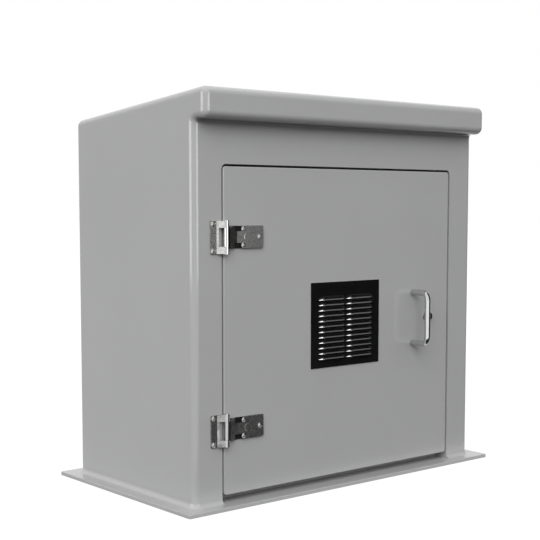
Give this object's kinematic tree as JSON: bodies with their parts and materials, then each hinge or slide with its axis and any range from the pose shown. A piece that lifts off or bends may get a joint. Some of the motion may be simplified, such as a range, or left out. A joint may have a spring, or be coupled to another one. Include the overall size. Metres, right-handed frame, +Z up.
{
  "type": "roadside utility cabinet",
  "caption": "Moulded grey roadside cabinet with a falling roof, a visor and a ground flange, and a hinged door with louvred vent, pull handle and quarter-turn lock.",
  "frame": {"origin": "on the ground, under the middle of the whole cabinet with its handle", "axes": "+X along the front from the hinge side to the handle side, +Y from the front to the back, +Z up"},
  "size_m": [0.9, 0.5264, 0.8486],
  "materials": {
    "gelcoat": "glossy grey gelcoat over glass-reinforced plastic",
    "seal_rubber": "soft black sponge rubber",
    "plywood": "sanded exterior plywood",
    "packer_black": "smooth black pad",
    "vent_black": "semi-gloss black powder coat",
    "stainless": "tumbled stainless steel",
    "bright_chrome": "polished chrome",
    "zinc_plate": "bright zinc plate",
    "spacer_nylon": "natural nylon"
  },
  "bodies": {
    "cabinet": {"body_shell": "gelcoat", "door_seal": "seal_rubber", "hinge_frame_leaf_upper": "stainless", "hinge_frame_leaf_lower": "stainless", "hinge_pin_upper": "stainless", "hinge_pin_lower": "stainless", "hinge_frame_screws": "stainless", "hinge_frame_nuts": "zinc_plate", "equipment_board": "plywood", "board_studs": "zinc_plate", "board_spacers": "spacer_nylon", "board_nuts": "zinc_plate"},
    "door": {"door_panel": "gelcoat", "hinge_door_leaf_upper": "stainless", "hinge_door_leaf_lower": "stainless", "hinge_packer_upper": "packer_black", "hinge_packer_lower": "packer_black", "hinge_door_screws": "stainless", "hinge_door_nuts": "zinc_plate", "vent_louvre_plate": "vent_black", "vent_studs": "zinc_plate", "vent_screen": "stainless", "vent_nuts": "zinc_plate", "pull_handle": "bright_chrome", "handle_screws": "zinc_plate", "handle_washers": "zinc_plate", "lock_housing": "bright_chrome", "lock_nut": "zinc_plate"},
    "lock": {"lock_plug": "bright_chrome", "lock_cam": "zinc_plate", "lock_cam_screw": "zinc_plate"}
  },
  "joints": [
    {"name": "door_hinge", "type": "hinge", "parent": "cabinet", "child": "door", "pos_m": [-0.3378, -0.21677, 0.35735], "axis": [0, 0, -1], "range_deg": [0, 150]},
    {"name": "lock_turn", "type": "hinge", "parent": "door", "child": "lock", "pos_m": [0.265, -0.20877, 0.35735], "axis": [0, 1, 0], "range_deg": [0, 90]}
  ]
}
